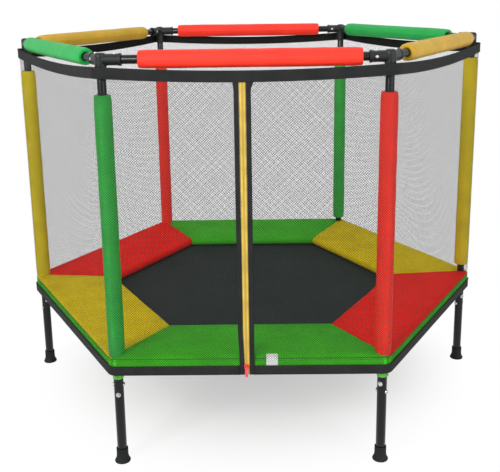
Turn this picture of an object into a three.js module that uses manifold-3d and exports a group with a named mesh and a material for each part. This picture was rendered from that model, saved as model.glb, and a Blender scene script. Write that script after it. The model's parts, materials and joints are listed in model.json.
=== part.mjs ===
// A six-sided children's trampoline with a net enclosure. Millimetres, Z up.
// The origin is on the floor under the middle of the mat, and one flat side faces -Y.
import * as THREE from "three";
import { mergeVertices } from "three/addons/utils/BufferGeometryUtils.js";
import Module from "manifold-3d";

// Overall sizes
const CORNER_R = 690; // middle of the mat to the axis of a post
const FRAME_Z = 272; // axis of the frame rails
const TOP_Z = 1070; // axis of the top rails
const GAP = 0.3; // between pieces that touch

// Steel tubes
const POST_R = 11;
const TOP_RAIL_R = 11;
const TUBE_WALL = 1.2;
const LEG_WALL = 1.4;
const LEG_R = POST_R + GAP + LEG_WALL; // the post stands inside the leg
const FRAME_R = 12.7;
const FRAME_WALL = 1.5;
const POST_DEPTH = 100; // how far a post goes down into its leg
const SPIGOT_REACH = 70; // end of a leg's spigot from the leg's axis
const BOLT_R = 3;
const BOLT_HEAD = { r: 5, height: 3.5 };
const BOLT_DROPS = [48, 73]; // below the axis of the frame rails

// Feet
const FOOT = { wall: 2.6, flare: 5.4, height: 39, flareHeight: 20, floor: 6 };

// Corner joints at the top of the posts
const JOINT_WALL = 2.7;
const JOINT_R = Math.max(POST_R, TOP_RAIL_R) + GAP + JOINT_WALL;
const COLLAR = { rise: 1.2, width: 7 };
const SOCKET_STOP = 18; // from the corner to the end of a rail
const ARM_REACH = 50; // from the corner to the mouth of a socket
const POST_STOP = 16; // from the rail axis down to the top of a post
const POST_SOCKET = 42; // from the rail axis down to the mouth of the post socket
const CAP_RISE = 17; // top of the cap above the rail axis

// Foam sleeves
const POST_FOAM_R = 22;
const RAIL_FOAM_R = 22.5;
const POST_FOAM_DROP = 84; // from the axis of the top rails down to a sleeve's top
const RAIL_FOAM_LENGTH = 534;
const SLEEVE_LIFTS = { right: 24, back_right: 14 }; // sleeves that stand off the pad
const SLEEVE_SHIFTS = {
  front: 12, right_front: 27, right_back: 27, back: 7, left_back: 20, left_front: -27,
};

// Mat and its lacing
const MAT_Z = FRAME_Z + 3;
const MAT_THICK = 2.4;
const LACING_SPAN = 60; // from the inside of a rail to the edge of the mat
const CORD_R = 2.5;
const EYELET_INSET = 14;
const EYELET_R = CORD_R + 1.5;
const EYELETS = 6; // on each side
const EYELET_PITCH = 92;
const CORD_RISE = 6; // of the cord's axis above and below the mat at an eyelet
const CORD_SIDES = 5;
const WRAP_STEPS = 4; // straight lengths of cord round the outside of a rail

// Pad
const PAD_THICK = 19;
const PAD_INNER_R = 455; // to a corner of the opening
const SKIRT_BOTTOM = FRAME_Z - 10;

// Net with its bands
const NET_THICK = 1.5;
const BAND_THICK = 2;
const BAND_HEIGHT = 26;
const BAND_DROP = 18; // from the rail axis down to the band's top edge at a corner
const BAND_SAG = 11; // lower in the middle of a side than at its corners
const HEM_BOTTOM = FRAME_Z - 16;
const HEM_HEIGHT = 25;

// Zip
const ZIP_X = -8;
const TAPE_WIDTH = 17;
const BINDING_WIDTH = 12;
const BINDING_THICK = 1.5;
const SLIDER = { width: 12, height: 14, depth: 3.4, rise: 19 }; // its rise is above the hem's bottom
const PIN_R = 0.9;
const PULL = { width: 8, length: 24, thick: 2, eye: 2.4 };

const ROUND = 12; // sides of a round piece
const SMALL_ROUND = 8; // sides of a bolt or a pin
const TURN = Math.PI / 3; // from one corner to the next
const APOTHEM = CORNER_R * Math.cos(Math.PI / 6);
const SIDE = CORNER_R; // a regular hexagon's side is its corner radius
const CORNERS = ["front_left", "front_right", "right", "back_right", "back_left", "left"];
const SIDES = ["front", "right_front", "right_back", "back", "left_back", "left_front"];

// Offsets out from the line through the post axes
const NET_IN = Math.max(POST_FOAM_R, RAIL_FOAM_R) + GAP;
const NET_OUT = NET_IN + NET_THICK;
const BAND_IN = NET_OUT + GAP;
const WRAP_R = (FRAME_R + GAP + CORD_R) / Math.cos(Math.PI / WRAP_STEPS / 2);
const SKIRT_IN = WRAP_R + CORD_R + GAP;
const SKIRT_OUT = NET_IN - GAP;

const MAT_APOTHEM = APOTHEM - FRAME_R - LACING_SPAN;
const FRAME_TOP = FRAME_Z + FRAME_R;
const BAND_TOP = TOP_Z - BAND_DROP;
const BAND_LOW = BAND_TOP - BAND_SAG - BAND_HEIGHT; // lowest edge, in the middle of a side

const wasm = await Module();
wasm.setup();

const material = (color, roughness, metalness = 0) =>
  new THREE.MeshStandardMaterial({ color, roughness, metalness });
const STEEL = material("#232625", 0.35, 0.6);
const MOULDED = material("#26292a", 0.5);
const RUBBER = material("#1c1e1e", 0.85);
const WEBBING = material("#2a2e2d", 0.9);
const MESH = material("#555a58", 0.9);
const MAT_CLOTH = material("#303534", 0.8);
const ELASTIC = material("#3a3d3d", 0.9);
const TAPE = material("#c9a942", 0.7);
const RED_METAL = material("#e8303a", 0.4);
const FOAM = {
  red: material("#f03c30", 0.75),
  green: material("#2e9f3c", 0.75),
  yellow: material("#c7a91c", 0.75),
};
const PAD_GREEN = material("#35962c", 0.8);
const POST_COLOURS = ["green", "red", "yellow", "green", "red", "yellow"];
const RAIL_COLOURS = ["red", "yellow", "green", "red", "yellow", "green"];

const trampoline = new THREE.Group();

/** Adds a piece to a sector, the sixth of the trampoline that holds one side and one corner. */
function add(name, geometry, surface, x = 0, y = 0, z = 0, sector = 0) {
  const mesh = new THREE.Mesh(geometry, surface);
  mesh.name = name;
  mesh.position.set(x, y, z);
  const group = new THREE.Group();
  group.rotation.z = sector * TURN;
  group.add(mesh);
  trampoline.add(group);
}

/** A turned shape about Z from [radius, height] points that run up its outside. */
function turned(profile, sides = ROUND) {
  const points = profile.map(([r, z]) => new THREE.Vector2(r, z));
  return new THREE.LatheGeometry(points, sides).rotateX(Math.PI / 2);
}

/** A round bar about Z between two heights. */
const bar = (r, low, high, sides = ROUND) =>
  turned([[0, low], [r, low], [r, high], [0, high]], sides);

/** A tube about Z between two heights. */
const tube = (r, bore, low, high) =>
  turned([[bore, low], [r, low], [r, high], [bore, high], [bore, low]]);

/** Turns a shape about Z so that it lies in the XY plane, towards the given angle. */
const lying = (geometry, angle = 0) => geometry.rotateY(Math.PI / 2).rotateZ(angle);

/** A manifold of a closed shape. */
function solid(geometry) {
  const bare = geometry.clone();
  bare.deleteAttribute("uv");
  bare.deleteAttribute("normal");
  const merged = mergeVertices(bare);
  return new wasm.Manifold(
    new wasm.Mesh({
      numProp: 3,
      vertProperties: merged.attributes.position.array,
      triVerts: new Uint32Array(merged.index.array),
    }),
  );
}

/** The shapes joined, then the cuts taken off, then only what lies inside the limits. */
function built(shapes, cuts = [], limits = []) {
  let whole = solid(shapes[0]);
  for (const shape of shapes.slice(1)) whole = whole.add(solid(shape));
  for (const cut of cuts) whole = whole.subtract(solid(cut));
  for (const limit of limits) whole = whole.intersect(solid(limit));
  const mesh = whole.getMesh();
  const geometry = new THREE.BufferGeometry();
  geometry.setAttribute("position", new THREE.BufferAttribute(mesh.vertProperties, 3));
  geometry.setIndex(new THREE.BufferAttribute(mesh.triVerts, 1));
  geometry.computeVertexNormals();
  return geometry;
}

/** The point at this distance along a sector's side from its middle, and out from the post line. */
function onSide(sector, along, offset) {
  return new THREE.Vector2(along, -APOTHEM - offset).rotateAround(
    new THREE.Vector2(),
    sector * TURN,
  );
}

/** The post axis at the end of a sector's side. */
const corner = (sector) => onSide(sector, SIDE / 2, 0);

/**
 * The hexagon at an offset outside the post line, anticlockwise from the front side, with
 * its corners round about the post axes. With a gap it starts and ends at the gap's edges.
 */
function outline(offset, gap = null) {
  const sideSteps = 4;
  const arcSteps = 4;
  const points = [];
  for (let sector = 0; sector < SIDES.length; sector++) {
    for (let i = 0; i < sideSteps; i++) {
      const along = (i / sideSteps - 0.5) * SIDE;
      if (sector > 0 || !gap || along > gap[1]) points.push(onSide(sector, along, offset));
    }
    for (let i = 0; i < arcSteps; i++) {
      const angle = sector * TURN - Math.PI / 2 + (i / arcSteps) * TURN;
      const arm = new THREE.Vector2(Math.cos(angle), Math.sin(angle)).multiplyScalar(offset);
      points.push(corner(sector).add(arm));
    }
  }
  if (gap) {
    points.unshift(onSide(0, gap[1], offset));
    for (let i = 0; i < sideSteps; i++) {
      const along = (i / sideSteps - 0.5) * SIDE;
      if (along < gap[0]) points.push(onSide(0, along, offset));
    }
    points.push(onSide(0, gap[0], offset));
  }
  return points;
}

/** How far the net's top edge hangs below its corners at a point in plan. */
function sag(x, y) {
  const sector = Math.round((Math.atan2(y, x) + Math.PI / 2) / TURN);
  const along = new THREE.Vector2(x, y).rotateAround(new THREE.Vector2(), -sector * TURN).x;
  return BAND_SAG * Math.max(0, 1 - (2 * along / SIDE) ** 2);
}

/** An upright wall round the trampoline between two offsets, with hanging edges if asked. */
function wall(inner, outer, low, high, { gap = null, hangs = () => false } = {}) {
  const back = outline(inner, gap);
  const shape = new THREE.Shape([...outline(outer, gap), ...(gap ? back.reverse() : [])]);
  if (!gap) shape.holes.push(new THREE.Path(back));
  const geometry = new THREE.ExtrudeGeometry(shape, { depth: high - low, bevelEnabled: false });
  geometry.translate(0, 0, low);
  const at = geometry.attributes.position;
  for (let i = 0; i < at.count; i++) {
    if (hangs(at.getZ(i))) at.setZ(i, at.getZ(i) - sag(at.getX(i), at.getY(i)));
  }
  return geometry;
}

/** Corner points of a hexagon with this apothem, its flat sides turned as the frame's. */
const hexagon = (apothem) =>
  SIDES.map((_, sector) => corner(sector).multiplyScalar(apothem / APOTHEM));

/** A leg with its two spigots for the frame rails, and the bolts that lock the post. */
function leg() {
  const bottom = FOOT.floor + GAP;
  const spigotR = FRAME_R - FRAME_WALL - GAP;
  const shapes = [bar(LEG_R, bottom, FRAME_TOP)];
  const cuts = [bar(POST_R + GAP, bottom - 1, FRAME_TOP + 1)];
  for (const angle of [0, 2 * TURN]) {
    const reach = bar(spigotR, LEG_R - TUBE_WALL, SPIGOT_REACH);
    shapes.push(lying(reach, angle).translate(0, 0, FRAME_Z));
  }
  const tubeWithSpigots = built(shapes, cuts);
  const bolts = BOLT_DROPS.map((drop, i) => {
    const end = LEG_R + BOLT_HEAD.height;
    const profile = [[0, -end], [BOLT_HEAD.r, -end], [BOLT_HEAD.r, 0.5 - LEG_R],
      [BOLT_R, 0.5 - LEG_R], [BOLT_R, LEG_R + 1], [0, LEG_R + 1]];
    return lying(turned(profile, SMALL_ROUND), i * Math.PI / 2).translate(0, 0, FRAME_Z - drop);
  });
  return built([tubeWithSpigots, ...bolts]);
}

/** A post, with clearance holes for the bolts. */
function post() {
  const low = FRAME_TOP - POST_DEPTH;
  const holes = BOLT_DROPS.map((drop, i) =>
    lying(bar(BOLT_R + GAP, -2 * POST_R, 2 * POST_R, SMALL_ROUND), i * Math.PI / 2)
      .translate(0, 0, FRAME_Z - drop));
  return built([tube(POST_R, POST_R - TUBE_WALL, low, TOP_Z - POST_STOP - GAP)], holes);
}

/** A rubber foot with a flared base that stands on the floor. */
function foot() {
  const { wall: thick, flare, height, flareHeight, floor } = FOOT;
  const bore = LEG_R + GAP;
  const r = bore + thick;
  const base = r + flare;
  return turned([[0, 0], [base, 0], [base, 4], [r + flare / 4, flareHeight / 2], [r, flareHeight],
    [r, height], [bore, height], [bore, floor], [0, floor]]);
}

/** The moulded joint on top of a post, with sockets for the post and two rails. */
function cornerJoint() {
  const collarR = JOINT_R + COLLAR.rise;
  const cap = [[0, -POST_SOCKET], [collarR, -POST_SOCKET], [collarR, COLLAR.width - POST_SOCKET],
    [JOINT_R, COLLAR.width - POST_SOCKET], [JOINT_R, CAP_RISE - 6], [JOINT_R - 4, CAP_RISE - 1],
    [0, CAP_RISE]];
  const arm = [[0, 0], [JOINT_R, 0], [JOINT_R, ARM_REACH - COLLAR.width],
    [collarR, ARM_REACH - COLLAR.width], [collarR, ARM_REACH], [0, ARM_REACH]];
  const angles = [0, 2 * TURN];
  const arms = angles.map((angle) => lying(turned(arm), angle));
  const railBores = angles.map((angle) =>
    lying(bar(TOP_RAIL_R + GAP, SOCKET_STOP, ARM_REACH + 1), angle));
  return built([turned(cap), ...arms],
    [bar(POST_R + GAP, -POST_SOCKET - 1, -POST_STOP), ...railBores]);
}

/** The woven mat with its eyelets. */
function mat() {
  const shape = new THREE.Shape(hexagon(MAT_APOTHEM));
  for (let sector = 0; sector < SIDES.length; sector++) {
    for (let i = 0; i < EYELETS; i++) {
      const at = onSide(sector, eyelet(i), MAT_APOTHEM - EYELET_INSET - APOTHEM);
      shape.holes.push(new THREE.Path().absarc(at.x, at.y, EYELET_R, 0, 2 * Math.PI));
    }
  }
  return new THREE.ExtrudeGeometry(shape, {
    depth: MAT_THICK, bevelEnabled: false, curveSegments: SMALL_ROUND / 2,
  });
}

/** How far along a side an eyelet lies from its middle. */
function eyelet(i) {
  return (i - (EYELETS - 1) / 2) * EYELET_PITCH;
}

/** A route of straight lengths, met at its own points rather than at even spacing. */
class Route extends THREE.Curve {
  constructor(points) {
    super();
    this.points = points;
  }

  getPoint(t, target = new THREE.Vector3()) {
    const place = Math.min(Math.max(t, 0), 1) * (this.points.length - 1);
    const i = Math.min(Math.floor(place), this.points.length - 2);
    return target.lerpVectors(this.points[i], this.points[i + 1], place - i);
  }

  getUtoTmapping(u) {
    return u;
  }
}

/** The elastic cord that winds round the frame rails and through the mat's eyelets. */
function lacing() {
  const points = [];
  const inset = MAT_APOTHEM - EYELET_INSET - APOTHEM;
  const put = (sector, along, offset, z) => {
    const at = onSide(sector, along, offset);
    points.push(new THREE.Vector3(at.x, at.y, z));
  };
  for (let sector = 0; sector < SIDES.length; sector++) {
    for (let i = 0; i < EYELETS; i++) {
      const rises = [CORD_RISE, 0, -CORD_RISE];
      for (const rise of rises) put(sector, eyelet(i), inset, MAT_Z + rise);
      if (i === EYELETS - 1) break;
      for (let step = 0; step <= WRAP_STEPS; step++) {
        const angle = Math.PI * (step / WRAP_STEPS - 0.5);
        const along = eyelet(i) + EYELET_PITCH * (0.35 + 0.3 * step / WRAP_STEPS);
        put(sector, along, WRAP_R * Math.cos(angle), FRAME_Z + WRAP_R * Math.sin(angle));
      }
    }
    const between = corner(sector).multiplyScalar(0.5 + MAT_APOTHEM / APOTHEM / 2);
    if (sector < SIDES.length - 1) points.push(new THREE.Vector3(between.x, between.y, MAT_Z));
  }
  const section = new THREE.Shape();
  for (let i = 0; i < CORD_SIDES; i++) {
    const angle = (i / CORD_SIDES) * 2 * Math.PI;
    const at = [CORD_R * Math.cos(angle), CORD_R * Math.sin(angle)];
    if (i === 0) section.moveTo(...at);
    else section.lineTo(...at);
  }
  return new THREE.ExtrudeGeometry(section, {
    steps: points.length - 1, extrudePath: new Route(points), bevelEnabled: false,
  });
}

/** The padded ring over the frame and the lacing, with a skirt outside and holes for the posts. */
function pad() {
  const innerApothem = PAD_INNER_R * Math.cos(Math.PI / 6);
  const innerZ = MAT_Z + MAT_THICK / 2 + GAP;
  const overCord = FRAME_Z + WRAP_R + CORD_R + GAP;
  const share = SKIRT_OUT / (APOTHEM + SKIRT_OUT - innerApothem);
  const rimZ = (overCord - innerZ * share) / (1 - share);
  const rimR = (APOTHEM + SKIRT_OUT) / Math.cos(Math.PI / 6);
  const slab = turned([[PAD_INNER_R, innerZ], [rimR, rimZ], [rimR, rimZ + PAD_THICK],
    [PAD_INNER_R, innerZ + PAD_THICK], [PAD_INNER_R, innerZ]], SIDES.length).rotateZ(TURN / 2);
  const plan = new THREE.ExtrudeGeometry(new THREE.Shape(outline(SKIRT_OUT)), {
    depth: TOP_Z, bevelEnabled: false,
  });
  const skirt = wall(SKIRT_IN, SKIRT_OUT, SKIRT_BOTTOM, rimZ + PAD_THICK / 2);
  const holes = CORNERS.map((_, i) =>
    bar(POST_R + GAP, 0, TOP_Z).rotateZ(i * TURN).translate(corner(i).x, corner(i).y, 0));
  return { geometry: built([slab, skirt], holes, [plan]), top: rimZ + PAD_THICK };
}

/** The zip's slider, with two ears and a pin on its front for the pull. */
function slider() {
  const { width, height, depth } = SLIDER;
  const earReach = 2 * PULL.eye;
  const body = new THREE.BoxGeometry(width, depth, height).translate(0, -depth / 2, 0);
  const ears = [-1, 1].map((side) =>
    new THREE.BoxGeometry(1.2, earReach + 1, 5)
      .translate(side * (PULL.width / 2 + GAP + 0.6), -depth - earReach / 2 + 0.5, 0));
  const pin = lying(bar(PIN_R, -PULL.width / 2 - 1, PULL.width / 2 + 1, SMALL_ROUND))
    .translate(0, -depth - PULL.eye - GAP, 0);
  return built([body, ...ears, pin]);
}

/** The pull that hangs from the slider's pin, about its own hinge axis. */
function pull() {
  const { width, length, thick, eye } = PULL;
  const ring = lying(bar(eye, -width / 2, width / 2));
  const tab = new THREE.BoxGeometry(width, thick, length).translate(0, 0, -length / 2 - PIN_R - 1);
  return built([ring, tab], [lying(bar(PIN_R + GAP, -width, width, SMALL_ROUND))]);
}

const padding = pad();
const foot0 = foot();
const leg0 = leg();
const post0 = post();
const joint0 = cornerJoint();
const start = corner(-1); // a sector's own corner, before the sector is turned
CORNERS.forEach((name, i) => {
  const lift = SLEEVE_LIFTS[name] ?? 0;
  const low = padding.top + GAP + lift;
  const foam = tube(POST_FOAM_R, POST_R + GAP, low, TOP_Z - POST_FOAM_DROP + lift);
  add(`foot_${name}`, foot0, RUBBER, start.x, start.y, 0, i);
  add(`leg_${name}`, leg0, STEEL, start.x, start.y, 0, i);
  add(`post_${name}`, post0, STEEL, start.x, start.y, 0, i);
  add(`post_sleeve_${name}`, foam, FOAM[POST_COLOURS[i]], start.x, start.y, 0, i);
  add(`corner_joint_${name}`, joint0, MOULDED, start.x, start.y, TOP_Z, i);
});

const frameHalf = SIDE / 2 - LEG_R - GAP;
const railHalf = SIDE / 2 - SOCKET_STOP - GAP;
const frameRail = lying(tube(FRAME_R, FRAME_R - FRAME_WALL, -frameHalf, frameHalf));
const topRail = lying(tube(TOP_RAIL_R, TOP_RAIL_R - TUBE_WALL, -railHalf, railHalf));
const railFoam = lying(
  tube(RAIL_FOAM_R, TOP_RAIL_R + GAP, -RAIL_FOAM_LENGTH / 2, RAIL_FOAM_LENGTH / 2));
SIDES.forEach((name, i) => {
  const shift = SLEEVE_SHIFTS[name] ?? 0;
  add(`frame_rail_${name}`, frameRail, STEEL, 0, -APOTHEM, FRAME_Z, i);
  add(`top_rail_${name}`, topRail, STEEL, 0, -APOTHEM, TOP_Z, i);
  add(`rail_sleeve_${name}`, railFoam, FOAM[RAIL_COLOURS[i]], shift, -APOTHEM, TOP_Z, i);
});

add("jump_mat", mat(), MAT_CLOTH, 0, 0, MAT_Z - MAT_THICK / 2);
add("mat_lacing", lacing(), ELASTIC);
add("pad", padding.geometry, PAD_GREEN);

const halfTape = TAPE_WIDTH / 2;
const tapeGap = [ZIP_X - halfTape - GAP, ZIP_X + halfTape + GAP];
const hemGap = [tapeGap[0] - BINDING_WIDTH - GAP, tapeGap[1] + BINDING_WIDTH + GAP];
const middle = (BAND_TOP + HEM_BOTTOM) / 2;
add("net", wall(NET_IN, NET_OUT, HEM_BOTTOM, BAND_TOP, { gap: tapeGap, hangs: (z) => z > middle }),
  MESH);
add("top_band", wall(BAND_IN, BAND_IN + BAND_THICK, BAND_TOP - BAND_HEIGHT, BAND_TOP,
  { hangs: () => true }), WEBBING);
add("hem_band", wall(BAND_IN, BAND_IN + BAND_THICK, HEM_BOTTOM, HEM_BOTTOM + HEM_HEIGHT,
  { gap: hemGap }), WEBBING);

const tapeTop = BAND_TOP - BAND_SAG - 1;
const tape = new THREE.BoxGeometry(TAPE_WIDTH, NET_THICK, tapeTop - HEM_BOTTOM);
const tapeY = -APOTHEM - (NET_IN + NET_OUT) / 2;
add("zip_tape", tape, TAPE, ZIP_X, tapeY, (tapeTop + HEM_BOTTOM) / 2);
const bindingTop = BAND_LOW - GAP;
const binding = new THREE.BoxGeometry(BINDING_WIDTH, BINDING_THICK, bindingTop - HEM_BOTTOM);
for (const [name, side] of [["left", -1], ["right", 1]]) {
  const x = ZIP_X + side * (halfTape + GAP + BINDING_WIDTH / 2);
  const y = -APOTHEM - BAND_IN - BINDING_THICK / 2;
  add(`zip_binding_${name}`, binding, WEBBING, x, y, (bindingTop + HEM_BOTTOM) / 2);
}

const sliderY = -APOTHEM - BAND_IN;
const sliderZ = HEM_BOTTOM + SLIDER.rise + SLIDER.height / 2;
add("zip_slider", slider(), RED_METAL, ZIP_X, sliderY, sliderZ);
add("zip_pull", pull(), RED_METAL, ZIP_X, sliderY - SLIDER.depth - PULL.eye - GAP, sliderZ);

export default trampoline;
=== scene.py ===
"""A six-sided children's trampoline with a net enclosure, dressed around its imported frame.

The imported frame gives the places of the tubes, the joints and the moving pieces. Each
sub-assembly is a class that builds its own meshes and dresses them. Metres, Z up, and one
flat side with the zip faces -Y.
"""

import json
import logging
import math
from dataclasses import dataclass, field
from enum import Enum
from typing import Any, Callable, Sequence

import bmesh
import bpy
from mathutils import Matrix, Vector, noise

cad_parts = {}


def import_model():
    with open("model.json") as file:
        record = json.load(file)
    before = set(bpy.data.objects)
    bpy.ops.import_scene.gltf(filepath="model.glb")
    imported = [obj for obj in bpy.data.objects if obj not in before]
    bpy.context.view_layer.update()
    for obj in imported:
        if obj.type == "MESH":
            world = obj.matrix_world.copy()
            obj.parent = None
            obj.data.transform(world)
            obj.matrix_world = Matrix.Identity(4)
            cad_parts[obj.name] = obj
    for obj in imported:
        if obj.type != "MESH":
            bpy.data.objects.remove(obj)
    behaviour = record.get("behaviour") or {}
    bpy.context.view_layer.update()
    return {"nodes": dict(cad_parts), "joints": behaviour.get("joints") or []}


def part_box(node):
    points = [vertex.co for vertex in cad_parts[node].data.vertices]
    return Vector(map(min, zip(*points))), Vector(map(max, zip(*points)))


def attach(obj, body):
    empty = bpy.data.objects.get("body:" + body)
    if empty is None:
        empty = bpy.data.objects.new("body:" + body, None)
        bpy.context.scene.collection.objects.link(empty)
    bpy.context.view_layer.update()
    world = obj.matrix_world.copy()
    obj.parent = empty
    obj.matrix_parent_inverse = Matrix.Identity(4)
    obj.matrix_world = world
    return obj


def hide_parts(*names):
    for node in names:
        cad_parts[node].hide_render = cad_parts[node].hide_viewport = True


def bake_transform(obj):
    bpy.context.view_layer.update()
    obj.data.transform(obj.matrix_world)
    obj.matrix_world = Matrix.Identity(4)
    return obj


LOG = logging.getLogger("trampoline")
MM = 0.001
TURN = math.radians(60)  # from one corner of the frame to the next
WELD = 1e-6
MAP = "Map"  # the name of every piece's UV map, which is in metres
CORNERS = ["front_left", "front_right", "right", "back_right", "back_left", "left"]
SIDES = ["front", "right_front", "right_back", "back", "left_back", "left_front"]
Place = Callable[[float, float], Vector]


class Cover(Enum):
    """Colours of the covers. The rails', posts' and pad's cloth come from different rolls."""

    RAIL_RED = "fd301c"
    RAIL_GREEN = "0fa648"
    RAIL_YELLOW = "c9a024"
    POST_RED = "ff2e1c"
    POST_GREEN = "2ba43c"
    POST_YELLOW = "ceb800"
    PAD_RED = "ff1a0a"
    PAD_GREEN = "42b41e"
    PAD_YELLOW = "e2c602"


POST_COVERS = [Cover.POST_GREEN, Cover.POST_RED, Cover.POST_YELLOW] * 2
RAIL_COVERS = [Cover.RAIL_RED, Cover.RAIL_YELLOW, Cover.RAIL_GREEN] * 2
PAD_COVERS = [Cover.PAD_GREEN, Cover.PAD_RED, Cover.PAD_YELLOW] * 2


# ---------------------------------------------------------------- finishes


def linear(hex_colour: str, gain: float = 1.0) -> tuple[float, float, float, float]:
    """Turns an sRGB hex colour to linear.

    Args:
        hex_colour: Six hex digits.
        gain: A factor on the linear values, for a lighter or darker thread.

    Returns:
        Linear red, green and blue, and an alpha of 1.
    """
    parts = [int(hex_colour[i:i + 2], 16) / 255 for i in (0, 2, 4)]
    flat = [c / 12.92 if c <= 0.04045 else ((c + 0.055) / 1.055) ** 2.4 for c in parts]
    return (*(min(c * gain, 1.0) for c in flat), 1.0)


def add_node(tree: bpy.types.NodeTree, kind: str, inputs: dict[Any, Any] | None = None,
             **settings: Any) -> bpy.types.Node:
    """Adds a node with its settings and links.

    Args:
        tree: The material's node tree.
        kind: The node's type, without its ShaderNode prefix.
        inputs: A value, or another node's output, for each input by name or number.
        **settings: The node's own properties.

    Returns:
        The new node.
    """
    node = tree.nodes.new(f"ShaderNode{kind}")
    for name, value in settings.items():
        setattr(node, name, value)
    for key, value in (inputs or {}).items():
        if isinstance(value, bpy.types.NodeSocket):
            tree.links.new(value, node.inputs[key])
        else:
            node.inputs[key].default_value = value
    return node


@dataclass(frozen=True)
class Finish:
    """A surface. Its subclasses draw what the eye sees on it."""

    name: str
    colour: str
    roughness: float
    ior: float = 1.5
    metallic: float = 0.0
    coat: float = 0.0
    coat_roughness: float = 0.1
    sheen: float = 0.0

    def build(self) -> bpy.types.Material:
        """Makes the material."""
        material = bpy.data.materials.new(self.name)
        material.use_nodes = True
        tree = material.node_tree
        shader = tree.nodes["Principled BSDF"]
        shader.inputs["Base Color"].default_value = linear(self.colour)
        shader.inputs["Roughness"].default_value = self.roughness
        shader.inputs["Metallic"].default_value = self.metallic
        shader.inputs["Coat Weight"].default_value = self.coat
        shader.inputs["Coat Roughness"].default_value = self.coat_roughness
        shader.inputs["Sheen Weight"].default_value = self.sheen
        if not self.metallic:
            shader.inputs["IOR"].default_value = self.ior
        self.draw(tree, shader)
        return material

    def draw(self, tree: bpy.types.NodeTree, shader: bpy.types.Node) -> None:
        """Adds the pattern, the unevenness and the relief. A subclass does this."""

    def tint(self, tree: bpy.types.NodeTree, shader: bpy.types.Node, share: Any,
             dark: float, light: float) -> None:
        """Mixes the base colour between a darker and a lighter one.

        Args:
            tree: The material's node tree.
            shader: Its shader.
            share: A node output from 0 to 1.
            dark: Gain of the darker colour.
            light: Gain of the lighter colour.
        """
        mix = add_node(tree, "Mix", {
            0: share, 6: linear(self.colour, dark), 7: linear(self.colour, light),
        }, data_type="RGBA")
        tree.links.new(mix.outputs[2], shader.inputs["Base Color"])

    def relief(self, tree: bpy.types.NodeTree, shader: bpy.types.Node, height: Any,
               depth_mm: float, strength: float = 1.0) -> None:
        """Adds a bump of this depth in millimetres."""
        bump = add_node(tree, "Bump", {
            "Height": height, "Distance": depth_mm * MM, "Strength": strength,
        })
        tree.links.new(bump.outputs["Normal"], shader.inputs["Normal"])

    def speckle(self, tree: bpy.types.NodeTree, grain_mm: float, detail: float = 2.0) -> Any:
        """Noise from 0 to 1 whose grains are about this many millimetres wide."""
        place = add_node(tree, "TexCoord")
        return add_node(tree, "TexNoise", {
            "Vector": place.outputs["Object"], "Scale": 1 / (grain_mm * MM), "Detail": detail,
        }).outputs["Fac"]

    def ranged(self, tree: bpy.types.NodeTree, value: Any, low: float, high: float,
               start: float = 0.3, end: float = 0.7) -> Any:
        """Maps a value from one range to another."""
        return add_node(tree, "MapRange", {
            "Value": value, "From Min": start, "From Max": end, "To Min": low, "To Max": high,
        }).outputs["Result"]

    def math(self, tree: bpy.types.NodeTree, operation: str, first: Any, second: Any = 0.0) -> Any:
        """One step of arithmetic."""
        return add_node(tree, "Math", {0: first, 1: second}, operation=operation).outputs[0]

    def diagonals(self, tree: bpy.types.NodeTree, vector: Any, pitch_mm: float,
                  angle: float = 45.0) -> list[Any]:
        """Two crossing coordinates that count threads at this pitch, turned by an angle."""
        turned_map = add_node(tree, "Mapping", {
            "Vector": vector, "Rotation": (0, 0, math.radians(angle)),
            "Scale": (1 / (pitch_mm * MM),) * 3,
        })
        split = add_node(tree, "SeparateXYZ", {0: turned_map.outputs[0]})
        return [split.outputs["X"], split.outputs["Y"]]

    def waves(self, tree: bpy.types.NodeTree, counts: Sequence[Any]) -> list[Any]:
        """A sine wave, from -1 to 1, along each of these counts."""
        return [self.math(tree, "SINE", self.math(tree, "MULTIPLY", c, 2 * math.pi))
                for c in counts]


@dataclass(frozen=True)
class WovenCover(Finish):
    """Polyester cloth with a thin vinyl face: a slanting basket weave shows through a soft gloss."""

    pitch_mm: float = 3.6  # of the real 1.2 mm weave, drawn three times as coarse so that it shows
    contrast: float = 0.16

    def draw(self, tree: bpy.types.NodeTree, shader: bpy.types.Node) -> None:
        """Draws the basket weave, its uneven dye and its gloss."""
        uv = add_node(tree, "UVMap", uv_map=MAP).outputs[0]
        first, second = self.waves(tree, self.diagonals(tree, uv, self.pitch_mm))
        basket = self.math(tree, "MULTIPLY", first, second)
        cloud = self.ranged(tree, self.speckle(tree, 70.0), -0.3, 0.3)
        share = self.math(tree, "ADD", self.math(tree, "MULTIPLY", basket, 0.3), 0.5)
        share = self.math(tree, "ADD", share, cloud)
        self.tint(tree, shader, share, 1 - self.contrast, 1 + self.contrast)
        rough = self.ranged(tree, self.speckle(tree, 12.0), self.roughness - 0.05,
                            self.roughness + 0.07)
        tree.links.new(rough, shader.inputs["Roughness"])
        self.relief(tree, shader, basket, 0.35, 0.7)


@dataclass(frozen=True)
class MatWeave(Finish):
    """Woven polypropylene: flat tapes cross at a slant, painted lighter on their ridges as a painted
    sheen and darker between them as painted shade.
    """

    pitch_mm: float = 4.4  # of the real 1.5 mm tapes, drawn coarser so that they show

    def draw(self, tree: bpy.types.NodeTree, shader: bpy.types.Node) -> None:
        """Draws crossing tapes with a painted sheen on their ridges and painted shade between them,
        and faint scuffs.
        """
        place = add_node(tree, "TexCoord").outputs["Object"]
        first, second = self.waves(tree, self.diagonals(tree, place, self.pitch_mm, 38.0))
        tapes = self.math(tree, "MAXIMUM", first, second)
        scuffs = self.ranged(tree, self.speckle(tree, 160.0, 4.0), -0.25, 0.25)
        share = self.math(tree, "ADD", self.ranged(tree, tapes, 0.2, 0.8, -0.4, 1.0), scuffs)
        # The tint is lighter on the tape ridges and darker between them: painted sheen and painted
        # shade. The scuffs are random tone.
        self.tint(tree, shader, share, 0.72, 1.3)
        self.relief(tree, shader, tapes, 0.3, 0.6)


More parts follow.
